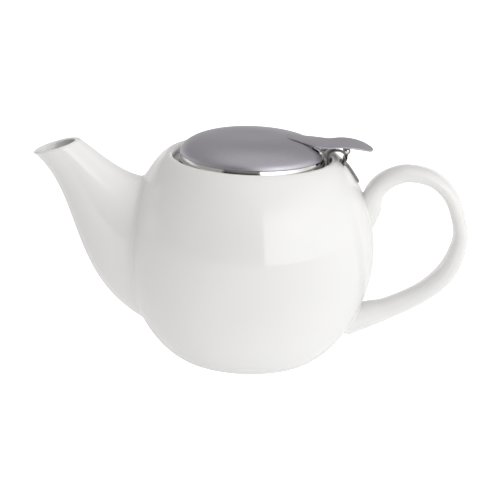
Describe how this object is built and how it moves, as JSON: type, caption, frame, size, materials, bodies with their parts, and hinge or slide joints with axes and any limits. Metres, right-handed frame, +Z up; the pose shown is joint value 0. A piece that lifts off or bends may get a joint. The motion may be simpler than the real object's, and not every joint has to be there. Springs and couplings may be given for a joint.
{
  "type": "teapot with infuser",
  "caption": "Round porcelain teapot with spout and ear handle, a lift-out steel infuser basket and a domed steel lid hinged at the handle side with a thumb tab.",
  "frame": {"origin": "middle of the foot's underside, on the pot's own axis", "axes": "+Z up along the pot's axis, +X towards the handle, spout towards -X, lid hinge parallel to Y"},
  "size_m": [0.2174, 0.1248, 0.116],
  "materials": {
    "glazed_porcelain": "clear glossy glaze over white porcelain",
    "brushed_steel": "fine circular brushing",
    "polished_steel": "mirror polished stainless steel",
    "satin_steel": "pressed sheet, satin",
    "perforated_steel": "fine perforated sheet, satin"
  },
  "bodies": {
    "pot": {"pot_body": "glazed_porcelain", "spout": "glazed_porcelain", "handle": "glazed_porcelain"},
    "infuser": {"collar": "satin_steel", "basket_wall": "perforated_steel", "basket_floor": "perforated_steel", "basket_hoop": "satin_steel", "saddle_clip": "satin_steel", "hinge_pin": "polished_steel"},
    "lid": {"lid_dome": "brushed_steel", "lid_liner": "polished_steel", "hinge_leaf": "satin_steel"}
  },
  "joints": [
    {"name": "infuser_lift", "type": "slide", "parent": "pot", "child": "infuser", "axis": [0, 0, 1], "range_m": [0, 0.075]},
    {"name": "lid_hinge", "type": "hinge", "parent": "infuser", "child": "lid", "pos_m": [0.0464, 0, 0.1109], "axis": [0, 1, 0], "range_deg": [0, 60]}
  ]
}
